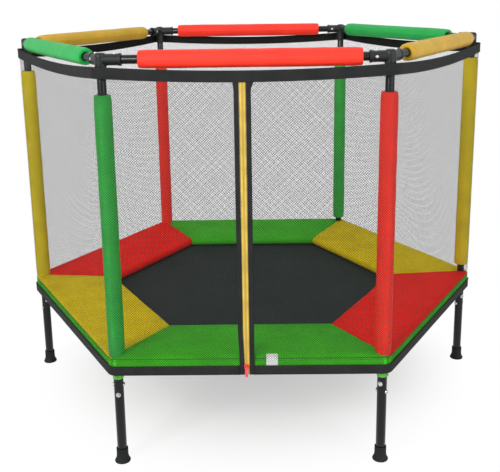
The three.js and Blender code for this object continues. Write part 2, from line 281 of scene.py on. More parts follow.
@dataclass(frozen=True)
class NetMesh(Finish):
    """Knitted polyester mesh: black yarns cross at a slant, and the holes are clear."""

    pitch_mm: float = 4.6  # of the real 3.9 mm mesh, a little coarser so that it shows
    yarn: float = 0.078  # half a yarn's width, as a share of the pitch

    def draw(self, tree: bpy.types.NodeTree, shader: bpy.types.Node) -> None:
        """Cuts the holes between the yarns."""
        uv = add_node(tree, "UVMap", uv_map=MAP).outputs[0]
        near = []
        for count in self.diagonals(tree, uv, self.pitch_mm):
            part = self.math(tree, "FRACT", count)
            near.append(self.math(tree, "ABSOLUTE", self.math(tree, "SUBTRACT", part, 0.5)))
        closest = self.math(tree, "MINIMUM", *near)
        yarns = self.math(tree, "LESS_THAN", closest, self.yarn)
        clear = add_node(tree, "BsdfTransparent")
        cut = add_node(tree, "MixShader", {
            0: yarns, 1: clear.outputs[0], 2: shader.outputs[0],
        })
        tree.links.new(cut.outputs[0], tree.nodes["Material Output"].inputs["Surface"])


@dataclass(frozen=True)
class Webbing(Finish):
    """Woven polyester strap: fine cross ribs, painted lighter on their ridges as a painted sheen and
    darker between them as painted shade.
    """

    rib_mm: float = 2.2

    def draw(self, tree: bpy.types.NodeTree, shader: bpy.types.Node) -> None:
        """Draws a herringbone of ribs, with a painted sheen on their ridges and painted shade
        between them.
        """
        uv = add_node(tree, "UVMap", uv_map=MAP).outputs[0]
        first, second = self.waves(tree, self.diagonals(tree, uv, self.rib_mm, 30.0))
        ribs = self.math(tree, "MULTIPLY", first, second)
        cloud = self.ranged(tree, self.speckle(tree, 45.0), -0.3, 0.3)
        share = self.math(tree, "ADD", self.ranged(tree, ribs, 0.25, 0.75, -1.0, 1.0), cloud)
        # The tint is lighter on the rib ridges and darker between them: painted sheen and painted
        # shade. The cloud is random tone.
        self.tint(tree, shader, share, 0.7, 1.45)
        self.relief(tree, shader, ribs, 0.25, 0.7)


@dataclass(frozen=True)
class PowderCoat(Finish):
    """Black powder coat baked on steel: a hard gloss with a faint orange peel."""

    grain_mm: float = 2.2
    peel_mm: float = 0.03

    def draw(self, tree: bpy.types.NodeTree, shader: bpy.types.Node) -> None:
        """Draws the orange peel and slightly duller patches."""
        self.tint(tree, shader, self.speckle(tree, 40.0), 0.85, 1.2)
        rough = self.ranged(tree, self.speckle(tree, 25.0, 3.0), self.roughness - 0.05,
                            self.roughness + 0.1)
        tree.links.new(rough, shader.inputs["Roughness"])
        self.relief(tree, shader, self.speckle(tree, self.grain_mm), self.peel_mm, 0.6)


@dataclass(frozen=True)
class Moulded(PowderCoat):
    """Moulded polymer: a fine spark-eroded grain that scatters light evenly."""

    grain_mm: float = 0.9
    peel_mm: float = 0.06


@dataclass(frozen=True)
class Plated(Finish):
    """Zinc-plated steel: bright, with a slightly streaky passivated face."""

    def draw(self, tree: bpy.types.NodeTree, shader: bpy.types.Node) -> None:
        """Draws uneven gloss."""
        rough = self.ranged(tree, self.speckle(tree, 3.0), self.roughness - 0.08,
                            self.roughness + 0.12)
        tree.links.new(rough, shader.inputs["Roughness"])
        self.tint(tree, shader, self.speckle(tree, 8.0), 0.85, 1.05)


class Finishes:
    """Every finish, made the first time that a piece asks for it."""

    def __init__(self) -> None:
        """Lists the finishes."""
        listed: list[Finish] = [
            PowderCoat("black_powder_coat", "080909", 0.2, ior=1.34, coat=0.1),
            Moulded("moulded_nylon", "131616", 0.42, ior=1.4),
            Moulded("foot_rubber", "0f1111", 0.72, ior=1.36, grain_mm=1.4),
            Plated("plated_screw", "c8ccd0", 0.28, metallic=1.0),
            MatWeave("mat_polypropylene", "252c2a", 0.7, ior=1.22),
            Webbing("black_webbing", "1d1e1e", 0.8, ior=1.3),
            Webbing("mat_webbing", "1c2020", 0.7, rib_mm=2.6),
            Webbing("mustard_tape", "ccae48", 0.6, rib_mm=1.8),
            Webbing("green_tie", "4c9a34", 0.6),
            Webbing("elastic_cord", "2b2f2f", 0.75, rib_mm=2.0),
            Moulded("zip_teeth", "bb963c", 0.4),
            Webbing("white_label", "f4f4f2", 0.6, rib_mm=1.6),
            Webbing("dark_stitch", "1f2322", 0.7, rib_mm=1.0),
            Webbing("green_stitch", "1f5f22", 0.7, rib_mm=1.0),
            Moulded("red_enamel", "e2202a", 0.25, coat=0.6, grain_mm=1.5, peel_mm=0.02),
            Moulded("red_pull", "f03c58", 0.35, grain_mm=1.5),
            NetMesh("net_mesh", "1c1f1e", 0.85, ior=1.2),
            Moulded("foam", "3a3d3c", 0.9, grain_mm=1.6, peel_mm=0.3),
        ]
        for cover in Cover:
            name = cover.name.lower()
            pad = name.startswith("pad")  # the pad's cloth is duller than the sleeves'
            listed.append(WovenCover(f"cover_{name}", cover.value, 0.62 if pad else 0.46,
                                     ior=1.2 if pad else 1.4))
        self.listed = {finish.name: finish for finish in listed}
        self.made: dict[str, bpy.types.Material] = {}

    def get(self, name: str) -> bpy.types.Material:
        """The material of this name."""
        if name not in self.made:
            self.made[name] = self.listed[name].build()
        return self.made[name]

    def cover(self, cover: Cover) -> bpy.types.Material:
        """The woven cover of this colour."""
        return self.get(f"cover_{cover.name.lower()}")


# ---------------------------------------------------------------- mesh helpers


def turned(profile: Sequence[tuple[float, float]], steps: int = 48,
           loop: bool = False) -> bmesh.types.BMesh:
    """Turns a profile about Z and gives it a map in metres.

    Args:
        profile: Radius and height of each point, in millimetres.
        steps: Sides of the turned shape.
        loop: Whether the profile closes on itself, as a tube's does.

    Returns:
        The shape, with its round direction across the map.
    """
    bm = bmesh.new()
    verts = [bm.verts.new((r * MM, 0, z * MM)) for r, z in profile]
    edges = [bm.edges.new(pair) for pair in zip(verts, verts[1:])]
    if loop:
        edges.append(bm.edges.new((verts[-1], verts[0])))
    bmesh.ops.spin(bm, geom=verts + edges, axis=(0, 0, 1), cent=(0, 0, 0),
                   angle=2 * math.pi, steps=steps, use_merge=True)
    bmesh.ops.remove_doubles(bm, verts=bm.verts, dist=WELD)
    wrap_map(bm, max(r for r, _ in profile) * MM)
    return bm


def wrap_map(bm: bmesh.types.BMesh, radius: float) -> None:
    """Maps a round shape about Z, in metres, with its seam on the side that faces -X."""
    layer = bm.loops.layers.uv.verify()
    for face in bm.faces:
        middle = face.calc_center_median()
        base = math.atan2(middle.y, middle.x)
        for loop in face.loops:
            turn = math.atan2(loop.vert.co.y, loop.vert.co.x) - base
            turn = (turn + math.pi) % (2 * math.pi) - math.pi
            loop[layer].uv = ((base + turn) * radius, loop.vert.co.z)


def rounded(corners: Sequence[tuple[float, float]], radius: float,
            steps: int = 4) -> list[tuple[float, float]]:
    """A closed profile with each corner rounded.

    Args:
        corners: Radius and height of each corner, in millimetres, in order.
        radius: The rounding.
        steps: Straight lengths in each rounding.

    Returns:
        The points of the rounded profile.
    """
    points = []
    for i, here in enumerate(corners):
        at = Vector(here)
        before = (Vector(corners[i - 1]) - at).normalized()
        after = (Vector(corners[(i + 1) % len(corners)]) - at).normalized()
        start, end = at + before * radius, at + after * radius
        for step in range(steps + 1):
            t = step / steps
            point = start * (1 - t) ** 2 + at * 2 * t * (1 - t) + end * t ** 2
            points.append((point.x, point.y))
    return points


def draped(columns: int, rows: int, size: tuple[float, float], place: Place) -> bmesh.types.BMesh:
    """A sheet whose points a function places.

    Args:
        columns: Cells across.
        rows: Cells up.
        size: Width and height of its map, in metres.
        place: Gives a point from its shares across and up.

    Returns:
        The sheet, with a map in metres.
    """
    bm = bmesh.new()
    layer = bm.loops.layers.uv.new(MAP)
    bmesh.ops.create_grid(bm, x_segments=columns, y_segments=rows, size=0.5)
    for face in bm.faces:
        for loop in face.loops:
            co = loop.vert.co
            loop[layer].uv = ((co.x + 0.5) * size[0], (co.y + 0.5) * size[1])
    for vert in bm.verts:
        vert.co = place(vert.co.x + 0.5, vert.co.y + 0.5)
    bmesh.ops.remove_doubles(bm, verts=bm.verts, dist=WELD)
    return bm


def lying(angle: float = 0.0) -> Matrix:
    """Turns a shape about Z so that it lies along this direction in the XY plane."""
    return Matrix.Rotation(angle, 4, "Z") @ Matrix.Rotation(math.pi / 2, 4, "Y")


def joined(parts: Sequence[tuple[bmesh.types.BMesh, Matrix]]) -> bmesh.types.BMesh:
    """Gathers shapes, each with its place, into one."""
    whole = bmesh.new()
    whole.loops.layers.uv.new(MAP)
    for part, place in parts:
        bmesh.ops.transform(part, matrix=place, verts=part.verts)
        bmesh.ops.recalc_face_normals(part, faces=part.faces)
        held = bpy.data.meshes.new("held")
        part.to_mesh(held)
        part.free()
        if held.uv_layers:
            held.uv_layers[0].name = MAP
        whole.from_mesh(held)
        bpy.data.meshes.remove(held)
    return whole


def finished(bm: bmesh.types.BMesh, name: str, material: bpy.types.Material,
             place: Matrix = Matrix(), sharp: float = 38.0) -> bpy.types.Object:
    """Makes a named object of a shape, with its place in its mesh.

    Args:
        bm: The shape, which is freed.
        name: The piece's name.
        material: Its finish.
        place: Where it goes in the frame.
        sharp: Edges that turn by more than this many degrees stay crisp.

    Returns:
        The object, at the origin.
    """
    bmesh.ops.recalc_face_normals(bm, faces=bm.faces)
    bmesh.ops.transform(bm, matrix=place, verts=bm.verts)
    mesh = bpy.data.meshes.new(name)
    bm.to_mesh(mesh)
    bm.free()
    if mesh.uv_layers:
        mesh.uv_layers[0].name = MAP
    mesh.materials.append(material)
    mesh.shade_smooth()
    mesh.set_sharp_from_angle(angle=math.radians(sharp))
    piece = bpy.data.objects.new(name, mesh)
    bpy.context.scene.collection.objects.link(piece)
    return piece


def thicken(piece: bpy.types.Object, thickness: float) -> bpy.types.Object:
    """Gives a sheet its thickness, half on each side."""
    solid = piece.modifiers.new("Thickness", "SOLIDIFY")
    solid.thickness = thickness
    solid.offset = 0.0
    return piece


def fit(piece: bpy.types.Object, slot: str, *nodes: str, body: str = "root") -> bpy.types.Object:
    """Rides a piece on its body and hides the CAD nodes that it stands for.

    Args:
        piece: The finished object.
        slot: The record's material slot; not used.
        *nodes: CAD nodes that it stands for.
        body: The body that it moves with.

    Returns:
        The same object.
    """
    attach(piece, body)
    if nodes:
        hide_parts(*nodes)
    LOG.info("%s: %d faces, on %s", piece.name, len(piece.data.polygons), body)
    return piece


def ease(value: float) -> float:
    """A smooth step from 0 to 1."""
    t = min(max(value, 0.0), 1.0)
    return t * t * (3 - 2 * t)


def sector_turn(sector: int) -> Matrix:
    """Turns a piece from the front side to another one."""
    return Matrix.Rotation(sector * TURN, 4, "Z")


@dataclass(frozen=True)
class Layout:
    """The hexagon that every sub-assembly stands on."""

    corner_r: float
    frame_z: float
    top_z: float
    nodes: dict[str, bpy.types.Object] = field(repr=False, default_factory=dict)

    @classmethod
    def read(cls, nodes: dict[str, bpy.types.Object]) -> "Layout":
        """Reads it from the frame's feet and rails."""
        foot = sum(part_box("foot_right"), Vector()) / 2
        rail = sum(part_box("frame_rail_front"), Vector()) / 2
        top = sum(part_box("top_rail_front"), Vector()) / 2
        return cls(foot.x, rail.z, top.z, nodes)

    @property
    def apothem(self) -> float:
        """From the middle to the line through two posts."""
        return self.corner_r * math.cos(TURN / 2)

    @property
    def side(self) -> float:
        """From one post to the next."""
        return self.corner_r

    def local_box(self, node: str, sector: int) -> tuple[Vector, Vector]:
        """Lowest and highest corner of a node, seen as if its sector were the front one."""
        back = sector_turn(-sector)
        points = [back @ v.co for v in self.nodes[node].data.vertices]
        low = Vector(min(p[i] for p in points) for i in range(3))
        high = Vector(max(p[i] for p in points) for i in range(3))
        return low, high

    def at_corner(self, sector: int, z: float = 0.0) -> Matrix:
        """Places a piece at a sector's own post, turned with the sector."""
        start = Matrix.Translation((-self.side / 2, -self.apothem, z))
        return sector_turn(sector) @ start

    def stretch(self, offset: float) -> float:
        """Length of one sector's part of the outline that stands off the post line."""
        return self.side + offset * TURN

    def outline(self, distance: float, offset: float) -> tuple[Vector, Vector, float]:
        """A point on the outline that stands off the post line, round about each post.

        Args:
            distance: Anticlockwise from the middle of the front side's first corner.
            offset: Out from the line through the post axes.

        Returns:
            The point at floor level, the direction outwards, and how far along its side it
            lies from the side's middle.
        """
        sector = math.floor(distance / self.stretch(offset))
        at = distance - sector * self.stretch(offset) - offset * TURN / 2
        past = min(at, 0.0) + max(at - self.side, 0.0)
        along = min(max(at, 0.0), self.side) - self.side / 2
        angle = past / offset
        out = Vector((math.sin(angle), -math.cos(angle), 0))
        point = Vector((along, -self.apothem, 0)) + offset * out
        turn = sector_turn(sector).to_3x3()
        return turn @ point, turn @ out, along

    def front_distance(self, x: float, offset: float) -> float:
        """Distance along the outline to this place on the front side."""
        return x + self.side / 2 + offset * TURN / 2


def stitches(layout: Layout, name: str, material: bpy.types.Material, offset: float, z: float,
             start: float, length: float, drop: Callable[[float], float] = lambda along: 0.0,
             pitch: float = 7 * MM, size: float = 0.9 * MM) -> bpy.types.Object:
    """A row of sewn stitches along the outline.

    Args:
        layout: The hexagon.
        name: The piece's name.
        material: The thread.
        offset: Where the stitches lie, out from the post line.
        z: Their height.
        start: Where the row starts along the outline.
        length: Length of the row.
        drop: How far the row hangs lower at a place along a side.
        pitch: From one stitch to the next.
        size: Thickness of the thread.

    Returns:
        The object.
    """
    whole = bmesh.new()
    for i in range(int(length / pitch)):
        point, out, along = layout.outline(start + (i + 0.5) * pitch, offset)
        across = Vector((-out.y, out.x, 0))
        shape = Matrix((across, out, (0, 0, 1))).transposed().to_4x4()
        scale = Matrix.Diagonal((pitch * 0.62, size * 0.7, size, 1))
        place = Matrix.Translation(point + Vector((0, 0, z - drop(along)))) @ shape @ scale
        bmesh.ops.create_cube(whole, size=1.0, matrix=place)
    return finished(whole, name, material)


# ---------------------------------------------------------------- sub-assemblies


@dataclass
class SteelFrame:
    """Six legs with their feet and bolts, the posts in them, and the lower and upper rails."""

    layout: Layout
    finishes: Finishes
    leg_r: float = 12.7
    leg_bore: float = 11.3
    foot_top: float = 39.0
    foot_base: float = 21.0
    bolt_drops: tuple[float, float] = (48.0, 73.0)

    def tube(self, r: float, bore: float, low: float, high: float) -> bmesh.types.BMesh:
        """A tube about Z with eased edges, in millimetres."""
        corners = [(bore, low), (r, low), (r, high), (bore, high)]
        return turned(rounded(corners, 0.35, 2), 48, loop=True)

    def leg(self, top: float) -> bmesh.types.BMesh:
        """A leg, with the two spigots that its rails slide on."""
        spigot = self.layout.local_box("frame_rail_front", 0)
        reach = 70.0
        r = (spigot[1].z - spigot[0].z) / 2 / MM - 1.8
        parts = [(self.tube(self.leg_r, self.leg_bore, 6.3, top), Matrix())]
        for angle in (0.0, 2 * TURN):
            bar = turned([(0, self.leg_bore), (r, self.leg_bore), (r, reach), (0, reach)], 32)
            parts.append((bar, Matrix.Translation((0, 0, self.layout.frame_z)) @ lying(angle)))
        return joined(parts)

    def foot(self) -> bmesh.types.BMesh:
        """A rubber foot: a ribbed socket over a flared base."""
        wall = 15.6
        bore = self.leg_r + 0.3
        base = self.foot_base
        profile = [(0, 0), (base - 1.5, 0), (base - 0.4, 0.4), (base, 1.5), (base, 3.2),
                   (base - 0.6, 4.4), (wall + 2.6, 8.2), (wall + 1.0, 12.5), (wall + 0.2, 18),
                   (wall, 22), (wall, 33), (wall - 0.5, 33.6), (wall - 0.5, 34.4),
                   (wall, 35), (wall, 38.2), (wall - 0.8, self.foot_top),
                   (bore, self.foot_top), (bore, 6), (0, 6)]
        return turned(profile, 56)

    def bolt(self) -> bmesh.types.BMesh:
        """A button-head bolt lying through a leg, with its washers and its nut."""
        seat = self.leg_r - 0.4
        head = [(0, seat - 1), (6.4, seat - 1), (6.4, seat + 1.2), (5, seat + 1.2),
                (4.9, seat + 2.4), (3.9, seat + 3.8), (2.4, seat + 4.2), (2.4, seat + 2.4),
                (0, seat + 2.4)]
        nut = [(0, seat), (5.8, seat), (5.8, seat + 3.0), (5.0, seat + 3.6), (3, seat + 3.6),
               (2.8, seat + 4.4), (0, seat + 4.4)]
        return joined([(turned(head, 32), Matrix.Rotation(math.pi, 4, "X")),
                       (turned(nut, 6), Matrix())])

    def build(self) -> None:
        """Builds and places every tube, foot and bolt."""
        steel = self.finishes.get("black_powder_coat")
        for sector, corner in enumerate(CORNERS):
            place = self.layout.at_corner(sector)
            low, high = self.layout.local_box(f"leg_{corner}", sector)
            leg = finished(self.leg(high.z / MM), f"leg_tube_{corner}", steel, place)
            fit(leg, "black_steel", f"leg_{corner}")
            foot = finished(self.foot(), f"rubber_foot_{corner}",
                            self.finishes.get("foot_rubber"), place)
            fit(foot, "foot_rubber", f"foot_{corner}")
            low, high = self.layout.local_box(f"post_{corner}", sector)
            r = (high.x - low.x) / 2 / MM
            post = finished(self.tube(r, r - 1.2, low.z / MM, high.z / MM),
                            f"post_tube_{corner}", steel, place)
            fit(post, "black_steel", f"post_{corner}")
            bolts = []
            for i, drop in enumerate(self.bolt_drops):
                at = Matrix.Translation((0, 0, self.layout.frame_z - drop * MM))
                bolts.append((self.bolt(), at @ lying(i * math.pi / 2)))
            fit(finished(joined(bolts), f"leg_bolts_{corner}",
                         self.finishes.get("plated_screw"), place), "black_steel")
        for sector, side in enumerate(SIDES):
            for kind, wall in (("frame_rail", 1.5), ("top_rail", 1.2)):
                low, high = self.layout.local_box(f"{kind}_{side}", sector)
                r = (high.z - low.z) / 2 / MM
                tube = self.tube(r, r - wall, low.x / MM, high.x / MM)
                middle = Matrix.Translation((0, -self.layout.apothem, (low.z + high.z) / 2))
                rail = finished(tube, f"{kind}_tube_{side}", steel,
                                sector_turn(sector) @ middle @ lying())
                fit(rail, "black_steel", f"{kind}_{side}")


@dataclass
class CornerJoints:
    """The moulded elbows on top of the posts, with the screws that hold their rails."""

    layout: Layout
    finishes: Finishes
    body_r: float = 14.0
    collar_r: float = 15.3
    reach: float = 50.0
    socket: float = 42.0
    cap: float = 17.0
    voxel: float = 1.3 * MM

    def blended_body(self) -> bpy.types.Mesh:
        """The post socket, the cap and two arms, melted together as one moulding."""
        r = self.body_r
        trunk = turned([(0, -self.socket), (r, -self.socket), (r, self.cap - 7),
                        (r - 1.5, self.cap - 3.2), (r - 5, self.cap - 0.8), (0, self.cap)])
        parts = [(trunk, Matrix())]
        for angle in (0.0, 2 * TURN):
            arm = turned([(0, 0), (r, 0), (r, self.reach), (0, self.reach)])
            parts.append((arm, lying(angle)))
        bm = joined(parts)
        mesh = bpy.data.meshes.new("joint_body")
        bm.to_mesh(mesh)
        bm.free()
        piece = bpy.data.objects.new("joint_body", mesh)
        bpy.context.scene.collection.objects.link(piece)
        remesh = piece.modifiers.new("Melt", "REMESH")
        remesh.mode = "VOXEL"
        remesh.voxel_size = self.voxel
        soften = piece.modifiers.new("Soften", "SMOOTH")
        soften.factor = 0.5
        soften.iterations = 4
        graph = bpy.context.evaluated_depsgraph_get()
        made = bpy.data.meshes.new_from_object(piece.evaluated_get(graph))
        bpy.data.objects.remove(piece)
        return made

    def collar(self, end: float, width: float) -> bmesh.types.BMesh:
        """A raised ring at the mouth of a socket, in millimetres from the corner."""
        inner = self.body_r - 2.5
        corners = [(inner, end - width), (self.collar_r, end - width), (self.collar_r, end),
                   (inner, end)]
        return turned(rounded(corners, 0.8, 3), 48, loop=True)

    def screw(self) -> bmesh.types.BMesh:
        """A pan-head screw about Z, its seat at the origin."""
        return turned([(0, -1), (3.6, -1), (3.8, 0.4), (3.3, 1.5), (1.9, 2.1), (1.5, 2.1),
                       (1.2, 1.2), (0, 1.2)], 24)

    def build(self) -> None:
        """Builds and places the joints."""
        body = self.blended_body()
        for sector, corner in enumerate(CORNERS):
            place = self.layout.at_corner(sector, self.layout.top_z)
            bm = bmesh.new()
            bm.from_mesh(body)
            bm.loops.layers.uv.verify()
            rings = [(self.collar(self.socket, 7.0), Matrix.Rotation(math.pi, 4, "X"))]
            rings += [(self.collar(self.reach, 7.0), lying(angle)) for angle in (0.0, 2 * TURN)]
            joint = finished(joined([(bm, Matrix()), *rings]), f"elbow_{corner}",
                             self.finishes.get("moulded_nylon"), place, 50.0)
            fit(joint, "moulded_black", f"corner_joint_{corner}")
            heads = []
            for angle in (0.0, 2 * TURN):
                arm = lying(angle) @ Matrix.Translation((0, 0, 34 * MM))
                for side in (0.5, 1.0):
                    turn = Matrix.Rotation(side * math.pi, 4, "Z")
                    out = Matrix.Translation((self.body_r * MM, 0, 0)) @ lying()
                    heads.append((self.screw(), arm @ turn @ out))
            fit(finished(joined(heads), f"elbow_screws_{corner}",
                         self.finishes.get("plated_screw"), place), "black_steel")


@dataclass
class FoamSleeves:
    """Foam tubes in sewn covers, on the posts and on the upper rails."""

    layout: Layout
    finishes: Finishes
    hem: float = 3.2  # rounding of a sleeve's ends
    gather: float = 1.4  # a cover draws in at its hems
    lump: float = 0.7
    press: float = 6.0  # a post sleeve that stands on the pad settles into it

    def sleeve(self, r: float, bore: float, low: float, high: float,
               seed: float) -> bmesh.types.BMesh:
        """One sleeve about Z, in millimetres, uneven as sewn foam is.

        Args:
            r: Outer radius.
            bore: Radius of the tube inside.
            low: Height of its lower end.
            high: Height of its upper end.
            seed: Tells one sleeve's unevenness from the next.

        Returns:
            The shape.
        """
        profile = rounded([(bore, low), (r, low), (r, high), (bore, high)], self.hem, 4)
        wall = [p for p in profile if p[0] > r - 0.01]
        length = wall[-1][1] - wall[0][1]
        steps = int(length / 14)
        start = profile.index(wall[0]) + 1  # the long wall gets rings that can bend
        ring = [(r, wall[0][1] + length * i / steps) for i in range(1, steps)]
        bm = turned([*profile[:start], *ring, *profile[start:]], 64, loop=True)
        for vert in bm.verts:
            flat = Vector((vert.co.x, vert.co.y, 0))
            reach = flat.length / MM
            if reach < (r + bore) / 2:
                continue
            z = vert.co.z / MM
            near_end = min(z - low, high - z)
            out = flat.normalized()
            wave = noise.noise(Vector((out.x * 1.3, out.y * 1.3, z / 60 + seed)))
            fine = noise.noise(Vector((out.x * 4, out.y * 4, z / 16 + seed)))
            change = self.lump * wave + 0.25 * fine
            change -= self.gather * math.exp(-(near_end / 9) ** 2)
            change -= 0.5 * math.exp(-((near_end - 14) / 2.5) ** 2)
            seam = math.atan2(out.y, out.x) - math.pi / 2
            change += 0.9 * math.exp(-(seam * r / 2.6) ** 2)
            vert.co += out * change * MM
        return bm

    def build(self) -> None:
        """Builds and places the twelve sleeves."""
        for sector, corner in enumerate(CORNERS):
            low, high = self.layout.local_box(f"post_sleeve_{corner}", sector)
            r = (high.x - low.x) / 2 / MM - 0.3
            rests = low.z / MM < 316
            start = low.z / MM - (self.press if rests else 0.0)
            bm = self.sleeve(r, 11.2, start, high.z / MM, sector * 7.3)
            piece = finished(bm, f"post_foam_{corner}", self.finishes.cover(POST_COVERS[sector]),
                             self.layout.at_corner(sector), 60.0)
            slot = f"{POST_COVERS[sector].name.split('_')[1].lower()}_sleeve"
            fit(piece, slot, f"post_sleeve_{corner}")
        for sector, side in enumerate(SIDES):
            low, high = self.layout.local_box(f"rail_sleeve_{side}", sector)
            r = (high.z - low.z) / 2 / MM - 0.3
            bm = self.sleeve(r, 11.2, low.x / MM, high.x / MM, 50 + sector * 5.1)
            middle = Matrix.Translation((0, -self.layout.apothem, self.layout.top_z))
            piece = finished(bm, f"rail_foam_{side}", self.finishes.cover(RAIL_COVERS[sector]),
                             sector_turn(sector) @ middle @ lying(), 60.0)
            slot = f"{RAIL_COVERS[sector].name.split('_')[1].lower()}_sleeve"
            fit(piece, slot, f"rail_sleeve_{side}")


@dataclass
class JumpMat:
    """The woven mat with its sewn edge and eyelets, and the elastic that laces it to the frame."""

    layout: Layout
    finishes: Finishes
    thick: float = 2.4
    hem_width: float = 34.0
    eyelets: int = 6
    pitch: float = 92.0
    inset: float = 14.0
    cord_r: float = 2.5
    cord_rise: float = 6.0
    rail_r: float = 12.7
    wrap_steps: int = 4
    foot_reach: float = 120.0  # the reach of the mat's middle part
    mat_z: float = field(init=False)
    mat_apothem: float = field(init=False)

    def __post_init__(self) -> None:
        """Reads the height of the mat's middle layer and its edge's distance from the middle."""
        low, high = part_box("jump_mat")
        self.mat_z = (low.z + high.z) / 2
        self.mat_apothem = -low.y

    def give(self, piece: bpy.types.Object, node: str) -> None:
        """Applies a piece's modifiers, bakes its place into its mesh and hides the CAD node that it
        stands for.

        Args:
            piece: The finished object.
            node: The CAD node that it stands for.
        """
        for modifier in list(piece.modifiers):
            with bpy.context.temp_override(object=piece, active_object=piece):
                bpy.ops.object.modifier_apply(modifier=modifier.name)
        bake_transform(piece)
        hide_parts(node)
        LOG.info("%s: %d faces, from root to mat", piece.name, len(piece.data.polygons))

    def cloth(self) -> bmesh.types.BMesh:
        """One sector of the mat, from the middle to its edge."""
        reach = self.mat_apothem
        half = math.tan(TURN / 2)
        return draped(36, 30, (reach, reach), lambda u, v: Vector(
            ((2 * u - 1) * v * reach * half, -v * reach, self.mat_z)))

    def hem(self) -> bmesh.types.BMesh:
        """The doubled webbing sewn round the mat's edge."""
        reach, width = self.mat_apothem, self.hem_width * MM
        half = math.tan(TURN / 2)
        lift = self.thick / 2 * MM + 0.7 * MM

        def place(u: float, v: float) -> Vector:
            """Folds the webbing over the edge."""
            angle = math.pi * v
            y = reach - width * (1 - math.sin(angle) ** 0.5)
            return Vector(((2 * u - 1) * y * half, -y - 0.8 * MM * math.sin(angle),
                           self.mat_z + lift * math.cos(angle)))

        return draped(40, 16, (2 * reach * half, 2 * width), place)

    def rings(self) -> bmesh.types.BMesh:
        """The eyelets of one side."""
        y = -(self.mat_apothem - self.inset * MM)
        ring = rounded([(3.4, -2.6), (7, -2.6), (7, 2.6), (3.4, 2.6)], 1.4, 3)
        parts = []
        for i in range(self.eyelets):
            x = (i - (self.eyelets - 1) / 2) * self.pitch * MM
            parts.append((turned(ring, 24, loop=True), Matrix.Translation((x, y, self.mat_z))))
        return joined(parts)

    def lacing_points(self, last: bool) -> list[Vector]:
        """The cord's way along one side, through each eyelet and round the rail."""
        y_in = -(self.mat_apothem - self.inset * MM)
        y_rail = -self.layout.apothem
        wrap = (self.rail_r + 0.3 + self.cord_r) / math.cos(math.pi / self.wrap_steps / 2) * MM
        points = []
        for i in range(self.eyelets):
            x = (i - (self.eyelets - 1) / 2) * self.pitch * MM
            for rise in (1, 0, -1):
                points.append(Vector((x, y_in, self.mat_z + rise * self.cord_rise * MM)))
            if i == self.eyelets - 1:
                break
            for step in range(self.wrap_steps + 1):
                angle = math.pi * (step / self.wrap_steps - 0.5)
                along = x + self.pitch * MM * (0.35 + 0.3 * step / self.wrap_steps)
                points.append(Vector((along, y_rail - wrap * math.cos(angle),
                                      self.layout.frame_z + wrap * math.sin(angle))))
        share = (1 + self.mat_apothem / self.layout.apothem) / 2
        for side in (-1, 1):
            end = Vector((side * self.layout.side / 2 * share, y_rail * share, self.mat_z))
            if side < 0:
                points.insert(0, end)
            elif not last:
                points.append(end)
        return points

    def cord(self, sector: int) -> bpy.types.Object:
        """The elastic of one side, as a round mesh."""
        curve = bpy.data.curves.new("elastic", "CURVE")
        curve.dimensions = "3D"
        curve.bevel_depth = self.cord_r * MM
        curve.bevel_resolution = 2
        curve.resolution_u = 5
        curve.use_fill_caps = True
        points = self.lacing_points(sector == len(SIDES) - 1)
        spline = curve.splines.new("BEZIER")
        spline.bezier_points.add(len(points) - 1)
        for knot, point in zip(spline.bezier_points, points):
            knot.co = point
            knot.handle_left_type = knot.handle_right_type = "AUTO"
        held = bpy.data.objects.new("elastic", curve)
        bpy.context.scene.collection.objects.link(held)
        graph = bpy.context.evaluated_depsgraph_get()
        bm = bmesh.new()
        bm.from_mesh(bpy.data.meshes.new_from_object(held.evaluated_get(graph)))
        bpy.data.objects.remove(held)
        return finished(bm, f"elastic_lacing_{SIDES[sector]}", self.finishes.get("elastic_cord"),
                        sector_turn(sector), 60.0)

    def build(self) -> None:
        """Builds the mat's six sectors, each with its edge, eyelets and elastic lacing."""
        for sector, side in enumerate(SIDES):
            turn = sector_turn(sector)
            cloth = finished(self.cloth(), f"mat_cloth_{side}",
                             self.finishes.get("mat_polypropylene"), turn)
            self.give(cloth, "jump_mat")
            hem = finished(self.hem(), f"mat_edge_{side}", self.finishes.get("mat_webbing"), turn)
            self.give(hem, "jump_mat")
            rings = finished(self.rings(), f"mat_eyelets_{side}",
                             self.finishes.get("plated_screw"), turn)
            self.give(rings, "jump_mat")
            self.give(self.cord(sector), "mat_lacing")


